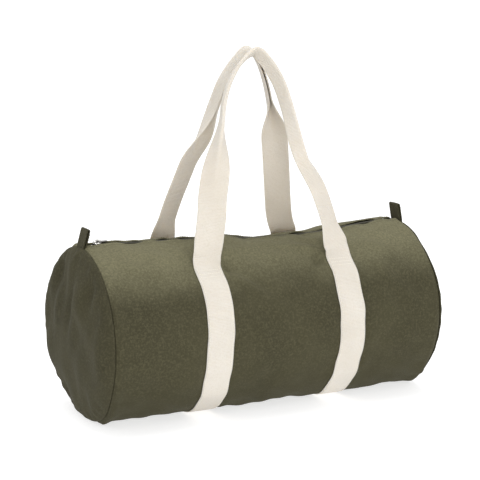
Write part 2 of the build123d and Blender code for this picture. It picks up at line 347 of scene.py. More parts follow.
def mottled_material(name, one, other, scale, depth, strength):
    """Two tones mixed by a fine noise, which is the surface's relief as well."""
    n = Nodes(name)
    noise = n.noise(n.place(), scale, 2.0)
    n.feed(n.mix(noise, one, other), "Base Color")
    n.feed(n.bump(noise, depth, strength), "Normal")
    return n


def thread_material(name, colour, shade):
    n = mottled_material(name, shade, colour, 2600.0, 0.1 * MM, 0.6)
    n.set(n.shader, Roughness=0.7, Sheen_Weight=0.1, Specular_IOR_Level=0.3)
    return n.material


def metal_material(name, colour, dark, rough):
    n = Nodes(name)
    place = n.place()
    smear = n.noise(place, 260.0, 3.0)
    scratch = n.noise(place, 2200.0, 2.0)
    n.feed(n.mix(n.contrast(smear, 0.35, 0.8), colour, dark), "Base Color")
    roughness = n.math("ADD", n.math("MULTIPLY", scratch, 0.18), rough)
    n.feed(roughness, "Roughness")
    n.feed(n.bump(scratch, 0.03 * MM, 0.4), "Normal")
    n.set(n.shader, Metallic=1.0)
    return n.material


def nylon_material(name, colour, light):
    n = mottled_material(name, colour, light, 500.0, 0.05 * MM, 0.5)
    n.set(n.shader, Roughness=0.42, Specular_IOR_Level=0.5)
    return n.material


# The barrel's canvas, with painted light on its top and painted shade towards its bottom.
OLIVE = woven_cloth("olive_canvas", (0.037, 0.0335, 0.0165), (0.049, 0.0445, 0.0225), (0.086, 0.079, 0.043),
                    thread=0.75 * MM, sheen=0.27, weave_depth=0.18 * MM, painted_top_light=(0.172, 0.161, 0.094))
# A darker copy of the canvas for the end panels and end loops: painted shade.
SHADED_OLIVE = woven_cloth("olive_canvas_shaded", (0.031, 0.028, 0.0140), (0.041, 0.037, 0.0185),
                        (0.072, 0.066, 0.036), thread=0.75 * MM, sheen=0.34, weave_depth=0.16 * MM)
OLIVE_TAPE = woven_cloth("olive_zip_tape", (0.050, 0.047, 0.028), (0.066, 0.062, 0.038),
                         (0.095, 0.090, 0.058), thread=0.5 * MM, sheen=0.25, weave_depth=0.1 * MM, rough=0.8)
BINDING = woven_cloth("binding_tape", (0.062, 0.059, 0.036), (0.080, 0.076, 0.047), (0.11, 0.105, 0.07),
                      thread=0.9 * MM, sheen=0.3, weave_depth=0.16 * MM)
WEB = webbing_cloth("natural_webbing")
NATURAL_THREAD = thread_material("natural_thread", (0.84, 0.80, 0.71), (0.66, 0.61, 0.51))
OLIVE_THREAD = thread_material("olive_thread", (0.105, 0.10, 0.062), (0.055, 0.052, 0.032))
NICKEL = metal_material("bright_nickel", (0.78, 0.77, 0.74), (0.52, 0.51, 0.49), 0.16)
GUNMETAL = metal_material("dark_nickel", (0.22, 0.21, 0.20), (0.09, 0.088, 0.085), 0.26)
COIL = nylon_material("olive_coil", (0.050, 0.047, 0.030), (0.085, 0.080, 0.055))
LABEL = woven_cloth("label_tape", (0.74, 0.74, 0.72), (0.84, 0.84, 0.82), (0.92, 0.92, 0.90),
                    thread=0.35 * MM, sheen=0.2, weave_depth=0.05 * MM, rough=0.6)


# ---- Shape of the canvas tube ----------------------------------------------------------
def loose_offset(x, angle):
    """How far free canvas stands off the plain barrel, in metres, at a signed angle (degrees)."""
    steep = np.abs(angle)
    from_end = HALF_LENGTH - np.abs(x)
    around = np.radians(angle) * RADIUS
    off = -2.6 * MM * (1 - (x / HALF_LENGTH) ** 2) * bump(steep, 0, 38)
    off = off - SAG * bump(x, 52 * MM, 78 * MM) * bump(steep, 0, 40)
    # The load settles: the lower flanks swell out and the underside lies on the ground.
    off = off + SWELL * bump(steep, 146, 24)
    off = off + 2.2 * MM * waves(x, around * 0.7, 7, 0.075, 0.19, SEED)
    off = off + 0.85 * MM * waves(x, around, 9, 0.026, 0.06, SEED + 1)
    # Puckers where the cloth is gathered in the end seams.
    gather = np.exp(-from_end / (19 * MM))
    off = off + 0.9 * MM * gather * waves(around, 0 * x, 6, 0.016, 0.045, SEED + 2)
    sunk = SEAM_DEPTH * (1 - 0.6 * smooth((steep - 110) / 40))
    off = off - sunk * np.exp(-((from_end / (3.6 * MM)) ** 1.3))
    off = off + 1.2 * MM * bump(from_end, 10 * MM, 6 * MM)
    # Puckers along the zip, not the same ones on both sides of it.
    from_lip = np.abs(around) - LIP_HALF
    ripple = np.exp(-from_lip / (15 * MM))
    side = np.where(angle < 0, 0.0, 0.31)
    off = off + 0.85 * MM * ripple * waves(x + side, 0.25 * from_lip, 8, 0.019, 0.05, SEED + 3)
    off = off + 1.0 * MM * bump(from_lip, 3.0 * MM, 3.2 * MM)
    # Pulled dimples and the folds that run from them, beside the feet of the handles.
    for sign in ENDS.values():
        inner = -sign * (x - sign * STRAP_X)
        along = (steep - MOUTH_ANGLE) * RADIUS * pi / 180
        off = off - DIMPLE * bump(inner, 30 * MM, 12 * MM) * bump(along, 7 * MM, 13 * MM)
        crease = along - 4 * MM - (inner - 24 * MM) * 0.75
        beyond = smooth((inner - 22 * MM) / (14 * MM))
        reach = beyond * bump(inner, 30 * MM, 48 * MM)
        off = off - CREASE * bump(crease, 0.0, 7 * MM) * reach
        off = off + RIDGE * bump(crease, 14 * MM, 8 * MM) * reach
        upper = along + 16 * MM + (inner - 24 * MM) * 0.25
        off = off + UPPER_RIDGE * bump(upper, 0.0, 7 * MM) * beyond * bump(inner, 30 * MM, 60 * MM)
        outer = -inner
        off = off - SIDE_DIMPLE * bump(outer, 31 * MM, 14 * MM) * bump(along, 9 * MM, 15 * MM)
    # All round, the last few millimetres close on the end panel's edge, then turn in to the seam.
    closing = smooth((6.5 * MM - from_end) / (3.5 * MM))
    off = off * (1 - closing) - SEAM_EDGE * closing
    return off - SEAM_GROOVE * smooth((3.0 * MM - from_end) / (1.0 * MM))


def tube_offset(x, angle):
    """The canvas with its straps sewn on: it lies level across each strap's width."""
    off = loose_offset(x, angle)
    sewn = smooth((np.abs(angle) - MOUTH_ANGLE + 3) / 5)
    for sign in ENDS.values():
        beside = np.abs(x - sign * STRAP_X)
        under = sewn * smooth((WEBBING_WIDTH / 2 + 9 * MM - beside) / (9 * MM))
        level = loose_offset(sign * STRAP_X + 0 * x, angle) - 0.9 * MM
        off = off * (1 - under) + level * under
    return off


def reached(x, height):
    """Where a point of the tube lies: the left end is packed out, the right one slumps at its shoulder."""
    slump = SLUMP * bump(height, 0.092, 0.034) - LOWER_REACH * smooth((-height - 0.075) / 0.035)
    reach = PACKED_OUT * smooth((height + 0.125) / 0.07)
    return x - reach * smooth((-x - 0.14) / 0.10) - slump * smooth((x - 0.15) / 0.09)


def tube_point(x, angle, lift=0.0):
    """Points on the canvas tube, lift metres above its surface."""
    turn = np.radians(angle)
    radius = RADIUS + tube_offset(x, angle) + lift
    y = radius * np.sin(turn)
    z = ground(AXIS_Z + radius * np.cos(turn), 0.9 * MM - np.minimum(lift, 0))
    return np.stack([reached(x, z - AXIS_Z) + 0 * y, y, z], axis=-1)


def follow_mouth(obj):
    """Bakes a piece's placement into its mesh."""
    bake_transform(obj)


def spaced(low, high, step, fine_ends=0.0):
    """Evenly spaced values; with fine_ends they crowd towards both ends."""
    count = max(2, int(round((high - low) / step)) + 1)
    t = np.linspace(0, 1, count)
    if fine_ends:
        t = t + fine_ends * (-np.sin(2 * pi * t)) / (2 * pi)
    return low + (high - low) * t


def make_canvas(side):
    """Half of the barrel: from the zip round to the middle of the underside."""
    sign = SIDES[side]
    lip = degrees(LIP_HALF / RADIUS)
    along = spaced(-HALF_LENGTH, HALF_LENGTH, 2.6 * MM, 0.75)
    angles = spaced(lip, 180.0, degrees(2.7 * MM / RADIUS))
    # The first step is split in four, for the row of puckers beside the zip.
    finer = lip + (angles[1] - lip) * np.array([0.0, 0.25, 0.5, 0.75])
    angles = np.concatenate([finer, angles[1:]])
    x, angle = np.meshgrid(along, sign * angles, indexing="ij")
    points = tube_point(x, angle).reshape(-1, 3)
    obj = mesh_object(f"canvas_{side}", points, grid_faces(len(along), len(angles), flip=sign > 0), OLIVE)
    lay_uv(obj, x, np.radians(angle) * RADIUS)
    thicken(obj, CANVAS)
    follow_mouth(obj)
    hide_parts(f"mouth_panel_{side}")


# ---- End panels ------------------------------------------------------------------------
def end_offset(y, height, share, end):
    """How far an end panel stands out past its seam, in metres."""
    bulge = END_BULGE["left" if end < 0 else "right"] * (1 - share ** 6.5) ** 0.55
    bulge = bulge * (1 - 0.25 * smooth((height - 0.02) / 0.10) - 0.38 * smooth((-height - 0.015) / 0.10))
    rim = 1 - bump(share, 1.0, 0.10)
    folds = waves(y + 0.2 * height, height * 0.22, 6, 0.028, 0.07, SEED + 11 + end)
    upper = smooth((height + 0.045) / 0.11) * smooth((1.02 - share) / 0.16)
    lower = smooth((-height - 0.03) / 0.08)
    out = bulge + 2.3 * MM * folds * upper * rim + 1.3 * MM * folds * lower * rim
    out = out + 1.9 * MM * rim * waves(y, height, 7, 0.05, 0.13, SEED + 21 + end)
    # Slack near the seam's upper part falls into soft dents: place, height, depth in mm and width.
    dents = ((-0.062, 0.072, 6.5, 0.016), (-0.080, 0.040, 5.0, 0.017), (-0.048, 0.044, -3.6, 0.020),
             (0.040, 0.078, 3.6, 0.020))
    for place, level, deep, wide in dents:
        out = out - deep * MM * bump(y, place, wide * 0.8) * bump(height, level, wide * 1.25)
    around = np.arctan2(y, height) * RADIUS
    pucker = waves(around, 0 * y, 7, 0.014, 0.040, SEED + 31 + end)
    return out + 0.9 * MM * pucker * bump(share, 0.94, 0.05)


def make_end_panel(end):
    sign = ENDS[end]
    spokes = 300
    seam_radius = RADIUS - 2.8 * MM
    seam_inset = 1.6 * MM
    rings = np.concatenate([[0.0], np.sin(spaced(0.02, pi / 2, 0.026))])
    turn = np.linspace(0, 2 * pi, spokes, endpoint=False)
    share, turn = np.meshgrid(rings, turn, indexing="ij")
    y = share * seam_radius * np.sin(turn)
    height = share * seam_radius * np.cos(turn)
    x = reached(sign * HALF_LENGTH, height) + sign * (end_offset(y, height, share, sign) - seam_inset)
    z = ground(AXIS_Z + height, 1.0 * MM)
    points = np.stack([x, y, z], axis=-1).reshape(-1, 3)
    obj = mesh_object(f"end_canvas_{end}", points,
                      grid_faces(len(rings), spokes, wrap_columns=True, flip=sign > 0), SHADED_OLIVE)
    lay_uv(obj, y, height)
    thicken(obj, CANVAS)
    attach(obj, "bag")
    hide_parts(f"end_panel_{end}")


def make_binding(end):
    """Tape folded over the seam allowance, inside the end seam."""
    sign = ENDS[end]
    turn = np.linspace(0, 2 * pi, 220, endpoint=False)
    seam_allowance = 9.5 * MM
    wrinkles = 57
    ring = np.array([(1.0, 0.0), (2.4, 0.5), (8.0, 0.7), (8.7, 1.4), (8.0, 2.1), (2.4, 2.3), (1.0, 2.6)]) * MM
    inset, depth = ring[:, 0], ring[:, 1]
    radius = RADIUS - seam_allowance - depth[None, :] + 0.25 * MM * np.sin(turn * wrinkles)[:, None]
    y = radius * np.sin(turn)[:, None]
    z = ground(AXIS_Z + radius * np.cos(turn)[:, None], 5.5 * MM + depth[None, :])
    x = reached(sign * HALF_LENGTH, z - AXIS_Z) - sign * (3.0 * MM + inset[None, :])
    points = np.stack([x, y, z], axis=-1).reshape(-1, 3)
    obj = mesh_object(f"binding_{end}", points,
                      grid_faces(len(turn), len(ring), wrap_rows=True, flip=sign < 0), BINDING)
    lay_uv(obj, turn[:, None] * RADIUS, inset[None, :])
    thicken(obj, 0.6 * MM)
    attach(obj, "bag")
    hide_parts(f"seam_binding_{end}")


# ---- Loops and label -------------------------------------------------------------------
def make_end_loop(end):
    """Strip of canvas doubled over and caught in the end seam over the zip."""
    sign = ENDS[end]
    lean = radians(17.0 if end == "left" else 9.0)
    past_seam = (4.0 if end == "left" else -0.3) * MM
    wall = 1.3 * MM
    foot = np.array([sign * (HALF_LENGTH + past_seam), 0.0, AXIS_Z + RADIUS - 7.5 * MM])
    up = np.array([-sign * sin(lean), 0.0, cos(lean)])
    out = np.array([sign * cos(lean), 0.0, sin(lean)])
    height = 32.0 * MM
    half_gap = 1.7 * MM
    # One face goes up, opening out over its first 12 mm, over the crown and down as the other face.
    rise = [(t, half_gap * (0.35 + 0.65 * sin(min(t / 0.012, 1.0) * pi / 2)))
            for t in np.arange(0.0, 0.0275, 0.0022)]
    crown = [(height - half_gap * 1.2 + half_gap * 1.2 * cos(a), half_gap * sin(a))
             for a in np.linspace(pi / 2, -pi / 2, 9)]
    path = np.array(rise + crown + [(t, -g) for t, g in reversed(rise)])
    across = np.linspace(-12.4, 12.4, 13) * MM
    points = []
    for t, g in path:
        cup = 0.9 * MM * (across / (12 * MM)) ** 2 * (t / height) * (1 if end == "left" else -1)
        for y, c in zip(across, cup):
            points.append(foot + up * t + out * (g + c) + np.array([0.0, y * (1 - 0.04 * t / height), 0.0]))
    obj = mesh_object(f"loop_{end}", points, grid_faces(len(path), len(across), flip=sign < 0), SHADED_OLIVE)
    lay_uv(obj, across[None, :], run_along(path)[:, None])
    thicken(obj, wall, 0.0)
    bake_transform(obj)
    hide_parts(f"end_loop_{end}")
    for face, face_name in ((-1, "inner"), (1, "outer")):
        t = np.arange(12.5 * MM, 29.5 * MM, 1.0 * MM)
        for edge, edge_name in EDGES.items():
            line = np.array([foot + up * v + out * face * (half_gap + wall / 2 + 0.1 * MM)
                             + np.array([0.0, edge * 10.6 * MM, 0.0]) for v in t])
            normals = np.repeat((out * face)[None, :], len(line), axis=0)
            row = stitch_mesh(f"loop_stitch_{end}_{face_name}_{edge_name}", line, normals, OLIVE_THREAD,
                              2.6 * MM)
            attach(row, f"{end}_loop")


def make_label():
    """Blank woven label, folded and caught in the right end seam."""
    low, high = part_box("side_label")
    middle_z = (low.z + high.z) / 2 + 1 * MM
    y = -sqrt(RADIUS ** 2 - (middle_z - AXIS_Z) ** 2) + 2.4 * MM
    path = np.array([(0.0, 0.0), (2.5, 0.35), (5.0, 0.9), (7.6, 1.0), (8.8, 0.4), (7.6, -0.2), (5.0, -0.2),
                     (2.5, -0.5), (0.0, -0.6)]) * MM
    path = catmull(path, 3)
    tall = np.linspace(-5.0, 5.0, 9) * MM
    seam_x = HALF_LENGTH + 1 * MM
    stretch, lean = 1.25, 0.12
    points = [(seam_x + stretch * u, y - v + lean * t, middle_z + t) for u, v in path for t in tall]
    obj = mesh_object("label", points, grid_faces(len(path), len(tall)), LABEL)
    lay_uv(obj, tall[None, :], run_along(path)[:, None])
    thicken(obj, 0.35 * MM, 0.0)
    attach(obj, "bag")
    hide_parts("side_label")


# ---- Seams and stitches ----------------------------------------------------------------
def stitch_mesh(name, points, normals, material, stitch, gap=1.0 * MM):
    """A row of sewn stitches along a line of closely spaced points."""
    radius = 0.3 * MM
    run = run_along(points)
    # Each ring of a stitch: its place along it, its girth and its rise.
    shape = np.array([(-0.5, 0.35, -0.25), (-0.38, 0.85, 0.1), (0.0, 1.0, 0.35), (0.38, 0.85, 0.1),
                      (0.5, 0.35, -0.25)])
    sides = 6
    verts = []
    faces = []
    start = gap / 2
    while start + stitch < run[-1]:
        middle = start + stitch / 2
        centre = value_at(middle, run, points)
        ahead = value_at(middle + stitch / 2, run, points)
        back = value_at(middle - stitch / 2, run, points)
        up = value_at(middle, run, normals)
        along = (ahead - back) / np.linalg.norm(ahead - back)
        across = np.cross(up, along)
        across = across / np.linalg.norm(across)
        up = np.cross(along, across)
        first = len(verts)
        for place, girth, rise in shape:
            for k in range(sides):
                a = 2 * pi * k / sides
                verts.append(centre + along * place * stitch
                             + across * cos(a) * girth * radius * 1.15
                             + up * (sin(a) * girth * radius + rise * radius))
        faces += grid_faces(len(shape), sides, wrap_columns=True, offset=first)
        faces.append(tuple(first + k for k in range(sides)))
        last = first + (len(shape) - 1) * sides
        faces.append(tuple(last + sides - 1 - k for k in range(sides)))
        start += stitch + gap
    return mesh_object(name, verts, faces, material)


def outward(points):
    """Directions straight out of the barrel at these points."""
    return unit(np.stack([0 * points[:, 0], points[:, 1], points[:, 2] - AXIS_Z], axis=-1))


def make_zip_stitching(side):
    """Two rows that sew the canvas edge to the zip's tape."""
    sign = SIDES[side]
    x = spaced(-HALF_LENGTH + 7 * MM, HALF_LENGTH - 7 * MM, 2 * MM)
    for row, inset in (("edge", 2.2 * MM), ("second", 7.5 * MM)):
        angle = sign * degrees((LIP_HALF + inset) / RADIUS)
        points = tube_point(x, angle + 0 * x, 0.05 * MM)
        obj = stitch_mesh(f"zip_stitch_{row}_{side}", points, outward(points), OLIVE_THREAD, 2.7 * MM)
        follow_mouth(obj)


# ---- Zip -------------------------------------------------------------------------------
def zip_line(x):
    """Height of the zip's tape: it dips with the canvas between the two ends."""
    lip = degrees(LIP_HALF / RADIUS)
    level = tube_point(x, -lip + 0 * x)[:, 2] + tube_point(x, lip + 0 * x)[:, 2]
    reach = 14
    window = np.ones(2 * reach + 1) / (2 * reach + 1)
    soft = np.convolve(np.pad(level / 2, reach, mode="edge"), window, mode="valid")
    return soft - TAPE_DROP


def make_tape(side):
    sign = SIDES[side]
    x = spaced(-HALF_LENGTH + 2 * MM, HALF_LENGTH - 2 * MM, 2.5 * MM)
    level = zip_line(x)
    across = np.array([0.5, 1.5, 2.8, 3.6, 5.0, 6.5, 9.0, 12.0, 15.0]) * MM
    drop = (RADIUS - np.sqrt(RADIUS ** 2 - across ** 2)) * 1.05
    drop = drop + 0.6 * MM * smooth((across - 3 * MM) / (6 * MM))
    height = level[:, None] - drop[None, :]
    points = np.stack(np.broadcast_arrays(x[:, None], sign * across[None, :], height), axis=-1)
    obj = mesh_object(f"tape_{side}", points.reshape(-1, 3),
                      grid_faces(len(x), len(across), flip=sign > 0), OLIVE_TAPE)
    lay_uv(obj, x[:, None], across[None, :])
    thicken(obj, 0.55 * MM)
    follow_mouth(obj)
    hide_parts(f"zip_tape_{side}")


def tube_along(points, radius, sides):
    """Points and faces of a thin tube along a line."""
    points = np.asarray(points)
    tangent = unit(np.gradient(points, axis=0))
    first = unit(np.cross(tangent, np.array([1.0, 0.0, 0.0])))
    second = np.cross(tangent, first)
    turn = np.linspace(0, 2 * pi, sides, endpoint=False)
    ring = (points[:, None, :] + radius * (np.cos(turn)[None, :, None] * first[:, None, :]
                                           + np.sin(turn)[None, :, None] * second[:, None, :]))
    return ring.reshape(-1, 3), grid_faces(len(points), sides, wrap_columns=True)


def make_coil(side):
    """Half of the chain: a wound nylon coil that meets its partner on the middle line."""
    sign = SIDES[side]
    coil_low, coil_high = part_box(f"zip_coil_{side}")
    turns = int((coil_high.x - coil_low.x) / COIL_PITCH)
    per_turn = 10
    t = np.arange(turns * per_turn + 1) / per_turn
    shift = 0.0 if sign < 0 else 0.5
    x = coil_low.x + t * COIL_PITCH
    whole = spaced(-HALF_LENGTH, HALF_LENGTH, 2 * MM)
    level = np.interp(x, whole, zip_line(whole))
    wire = 0.36 * MM
    clearance = 0.15 * MM
    phase = 2 * pi * (t + shift)
    y = sign * (clearance + COIL_HALF_WIDTH / 2 + (COIL_HALF_WIDTH / 2) * np.cos(phase) * 0.98)
    z = level + clearance + COIL_HEIGHT / 2 + (COIL_HEIGHT / 2 - wire) * np.sin(phase)
    verts, faces = tube_along(np.stack([x, y, z], axis=-1), wire, 5)
    obj = mesh_object(f"coil_{side}", verts, faces, COIL)
    follow_mouth(obj)
    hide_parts(f"zip_coil_{side}")


# ---- Webbing ---------------------------------------------------------------------------
# Line of each leg's fold in its handle's leaning plane: (x from the middle, z) from the foot up.
LEGS = {
    "front_left": [(0.0975, 0.250), (0.0895, 0.285), (0.0867, 0.305), (0.0802, 0.332), (0.0728, 0.358),
                   (0.0655, 0.385), (0.0590, 0.411), (0.0530, 0.438), (0.0410, 0.466), (0.0205, 0.493)],
    "front_right": [(0.0970, 0.250), (0.0925, 0.272), (0.0865, 0.294), (0.0780, 0.322), (0.0690, 0.351),
                    (0.0625, 0.379), (0.0570, 0.407), (0.0505, 0.436), (0.0415, 0.465), (0.0250, 0.493)],
    "rear_left": [(0.1005, 0.250), (0.0965, 0.267), (0.0905, 0.288), (0.0805, 0.317), (0.0702, 0.347),
                  (0.0608, 0.376), (0.0525, 0.406), (0.0438, 0.435), (0.0328, 0.465), (0.0142, 0.493)],
    "rear_right": [(0.0885, 0.250), (0.0830, 0.276), (0.0780, 0.307), (0.0728, 0.338), (0.0670, 0.370),
                   (0.0570, 0.401), (0.0482, 0.432), (0.0375, 0.463), (0.0235, 0.491)],
}
# How far each leg turns its face outwards, in degrees: where it is flat, and where it is folded.
TURNS = {"front_left": (25, 14), "front_right": (28, 34), "rear_left": (26, 20), "rear_right": (12, 10)}
# Top of each handle: its place along the bag, its height and how far it is from the middle line.
TOP_X = {"front": 0.0045, "rear": 0.0055}
TOP_Z = 0.5100
TOP_REACH = 0.0190
# The heights between which each leg goes from flat to folded.
FOLDS = {"front_left": (0.310, 0.425), "front_right": (0.300, 0.425), "rear_left": (0.338, 0.430),
         "rear_right": (0.362, 0.440)}


def catmull(knots, per_span):
    """Smooth line through the knots."""
    knots = np.asarray(knots, float)
    padded = np.vstack([2 * knots[0] - knots[1], knots, 2 * knots[-1] - knots[-2]])
    line = []
    for i in range(1, len(padded) - 2):
        a, b, c, d = padded[i - 1:i + 3]
        for t in np.arange(per_span) / per_span:
            line.append(0.5 * (2 * b + (c - a) * t + (2 * a - 5 * b + 4 * c - d) * t ** 2
                               + (3 * b - a - 3 * c + d) * t ** 3))
    line.append(knots[-1])
    return np.array(line)


def even(line, step):
    """The same line with evenly spaced points."""
    run = run_along(line)
    return value_at(np.linspace(0, run[-1], int(run[-1] / step) + 1), run, line)


def skew(side, end, angle):
    """How far a sewn strap's upper end is set over: the rear right one is sewn a little off its line."""
    amount = -4.5 * MM if (side, end) == ("rear", "right") else 0.0
    return amount * smooth((85.0 - np.abs(angle)) / 45.0)


def webbing_line(side):
    """Middle line of one side's webbing, its outward directions and how far it is folded."""
    sign = SIDES[side]
    rise = (TOP_Z - HANDLE_PIVOT[2], TOP_REACH - HANDLE_PIVOT[1])
    left_leg = [(STRAP_X - skew(side, "left", MOUTH_ANGLE), HANDLE_PIVOT[2])] + LEGS[f"{side}_left"]
    right_leg = [(STRAP_X + skew(side, "right", MOUTH_ANGLE), HANDLE_PIVOT[2])] + LEGS[f"{side}_right"]
    arch = [(-x, z) for x, z in left_leg] + [(TOP_X[side], TOP_Z)] + [(x, z) for x, z in reversed(right_leg)]
    arch = catmull(arch, 24)
    share = (arch[:, 1] - HANDLE_PIVOT[2]) / rise[0]
    handle = np.stack([arch[:, 0], sign * (HANDLE_PIVOT[1] + rise[1] * share), arch[:, 1]], axis=-1)
    angle = np.arange(180.0, MOUTH_ANGLE + 2.0, -1.2)
    runs = []
    for end in ENDS:
        lift = WEBBING / 2 + 0.25 * MM
        run = tube_point(ENDS[end] * STRAP_X + skew(side, end, angle), sign * angle, lift)
        run[:, 2] = np.maximum(run[:, 2], WEBBING / 2 + 0.1 * MM)
        runs.append(run)
    left, right = runs[0], runs[1][::-1]
    line = np.vstack([left, handle[2:-2], right])
    line = even(line, 2.0 * MM)
    for _ in range(6):      # rounds the bends where the handle leaves its straps
        line[1:-1] = 0.25 * line[:-2] + 0.5 * line[1:-1] + 0.25 * line[2:]
    heading = unit(np.gradient(line, axis=0))
    lean = np.array([0.0, sign * rise[0], -rise[1]]) / sqrt(rise[0] ** 2 + rise[1] ** 2)
    on_handle = smooth((line[:, 2] - HANDLE_PIVOT[2]) / (12 * MM))[:, None]
    away = outward(line) * (1 - on_handle) + lean[None, :] * on_handle
    away = unit(away - (away * heading).sum(1)[:, None] * heading)
    right_share = smooth((line[:, 0] + 0.03) / 0.06)

    def both_legs(table):
        """A leg's two values at each point, going over from the left leg to the right one at the top."""
        pairs = zip(table[f"{side}_left"], table[f"{side}_right"])
        return [np.interp(right_share, [0, 1], pair) for pair in pairs]

    fold_low, fold_high = both_legs(FOLDS)
    fold = smooth((line[:, 2] - fold_low) / (fold_high - fold_low))
    low_turn, high_turn = both_legs(TURNS)
    turn = np.radians(low_turn * smooth((line[:, 2] - 0.224) / 0.040) + (high_turn - low_turn) * fold)
    # With the line running from left to right, both legs turn outwards the same way round.
    turn = (-sign * turn)[:, None]
    away = away * np.cos(turn) + np.cross(away, heading) * np.sin(turn)
    return line, heading, away, fold


def folded_profile(turn, count):
    """Middle line of the webbing's cross section, folded by turn radians on each side."""
    fold_half = 1.9 * MM
    q = np.linspace(-1, 1, 2 * count + 1) * WEBBING_WIDTH / 2
    slope = turn * np.tanh(q / fold_half) + 0.03 * q / WEBBING_WIDTH
    step = q[1] - q[0]
    across = np.concatenate([[0], np.cumsum((np.cos(slope[1:]) + np.cos(slope[:-1])) / 2)]) * step
    rise = -np.concatenate([[0], np.cumsum((np.sin(slope[1:]) + np.sin(slope[:-1])) / 2)]) * step
    return q, across - across[count], rise - rise[count], slope


def make_webbing(side):
    line, heading, away, fold = webbing_line(side)
    widthwise = np.cross(away, heading)
    count = 15
    flattened = radians(89)     # the fold of each half where the two lie face to face
    rows = []
    for i in range(len(line)):
        q, across, rise, slope = folded_profile(flattened * fold[i], count)
        rounded = np.sqrt(np.clip(1.02 - (np.abs(q) / (WEBBING_WIDTH / 2)) ** 14, 0.25, 1))
        skin = WEBBING / 2 * np.minimum(1.0, rounded)
        top = (across + np.sin(slope) * skin, rise + np.cos(slope) * skin)
        low = (across - np.sin(slope) * skin, rise - np.cos(slope) * skin)
        a = np.concatenate([top[0], low[0][::-1]])
        b = np.concatenate([top[1], low[1][::-1]])
        rows.append(line[i] + a[:, None] * widthwise[i] + b[:, None] * away[i])
    points = np.concatenate(rows)
    columns = len(rows[0])
    faces = grid_faces(len(rows), columns, wrap_columns=True)
    faces.append(tuple(range(columns)))
    faces.append(tuple((len(rows) - 1) * columns + k for k in reversed(range(columns))))
    obj = mesh_object(f"webbing_{side}", points, faces, WEB)
    lay_uv(obj, np.concatenate([q, q[::-1] + WEBBING_WIDTH * 2])[None, :], run_along(line)[:, None])
    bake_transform(obj)
    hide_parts(f"handle_{side}")


def strap_line(side, end, x, angle):
    """Points on the face of a sewn strap and the directions out of it."""
    where = ENDS[end] * STRAP_X + skew(side, end, angle)
    points = tube_point(where + 0 * angle, SIDES[side] * angle, WEBBING + 0.30 * MM)
    points[:, 0] = where + x
    return points, outward(points)


def make_strap_stitching(side):
    """Rows down both edges of each sewn strap, and the box at its head."""
    off_ground = 6 * MM
    row_x = WEBBING_WIDTH / 2 - 2.6 * MM
    box_x = WEBBING_WIDTH / 2 - 3.5 * MM
    top, bottom = MOUTH_ANGLE + 3.0, MOUTH_ANGLE + 11.0
    for end in ENDS:
        angle = np.arange(bottom, 178.0, 1.0)
        for edge, edge_name in EDGES.items():
            points, normals = strap_line(side, end, edge * row_x, angle)
            keep = points[:, 2] > off_ground
            obj = stitch_mesh(f"strap_stitch_{side}_{end}_{edge_name}", points[keep], normals[keep],
                              NATURAL_THREAD, 2.6 * MM)
            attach(obj, "bag")
        # Four rows across the strap and one down each edge of the box: their two ends in x and angle.
        rows = [((-box_x, box_x), (level, level)) for level in (top, top + 2.6, top + 5.3, bottom)]
        rows += [((x, x), (top, bottom)) for x in (-box_x, box_x)]
        pieces = []
        for k, (x, level) in enumerate(rows):
            points, normals = strap_line(side, end, np.linspace(*x, 24), np.linspace(*level, 24))
            pieces.append(stitch_mesh(f"box_{side}_{end}_{k}", points, normals, NATURAL_THREAD, 2.3 * MM,
                                      0.8 * MM))
        obj = joined(f"box_stitches_{side}_{end}", pieces)
        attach(obj, "bag")
        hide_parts(f"box_stitch_{side}_{end}")


def joined(name, pieces):
    """One object out of several that share a material."""
    verts, faces = [], []
    for piece in pieces:
        first = len(verts)
        verts += [v.co[:] for v in piece.data.vertices]
        faces += [tuple(first + k for k in face.vertices) for face in piece.data.polygons]
    material = pieces[0].data.materials[0]
    for piece in pieces:
        bpy.data.objects.remove(piece)
    return mesh_object(name, verts, faces, material)


# ---- Zip slider, pull and stops --------------------------------------------------------
def prism(name, outline, low, high, material, bevel, hole=None, axis="z"):
    """Flat piece with a rounded edge: an outline in X and Y (or X and Z) drawn out between two levels."""
    outer = np.asarray(outline)
    loops = [outer] if hole is None else [outer, np.asarray(hole)]
    levels = [(low, bevel), (low + bevel, 0.0), (high - bevel, 0.0), (high, bevel)]
    verts, faces = [], []
    starts = []
    for k, loop in enumerate(loops):
        centre = loop.mean(axis=0)
        starts.append(len(verts))
        inward = -1 if k == 0 else 1
        for level, inset in levels:
            away = loop - centre
            size = np.linalg.norm(away, axis=1)[:, None]
            ring = loop + inward * inset * away / size
            for u, v in ring:
                verts.append((u, v, level) if axis == "z" else (u, level, v))
        count = len(loop)
        faces += grid_faces(len(levels), count, wrap_columns=True, flip=(k == 0) != (axis == "z"),
                            offset=starts[k])
    count = len(outer)
    top = starts[0] + 3 * count
    if hole is None:
        faces.append(tuple(starts[0] + j for j in range(count)))
        faces.append(tuple(top + j for j in reversed(range(count))))
    else:
        other = starts[1]
        for base, other_base in ((starts[0], other), (top, other + 3 * count)):
            for j in range(count):
                n = (j + 1) % count
                quad = (base + j, base + n, other_base + n, other_base + j)
                faces.append(quad if base == top else quad[::-1])
    obj = mesh_object(name, verts, faces, material)
    bm = bmesh.new()
    bm.from_mesh(obj.data)
    bmesh.ops.recalc_face_normals(bm, faces=bm.faces)
    bm.to_mesh(obj.data)
    bm.free()
    obj.data.shade_smooth()
    obj.data.set_sharp_from_angle(angle=radians(50))
    return obj


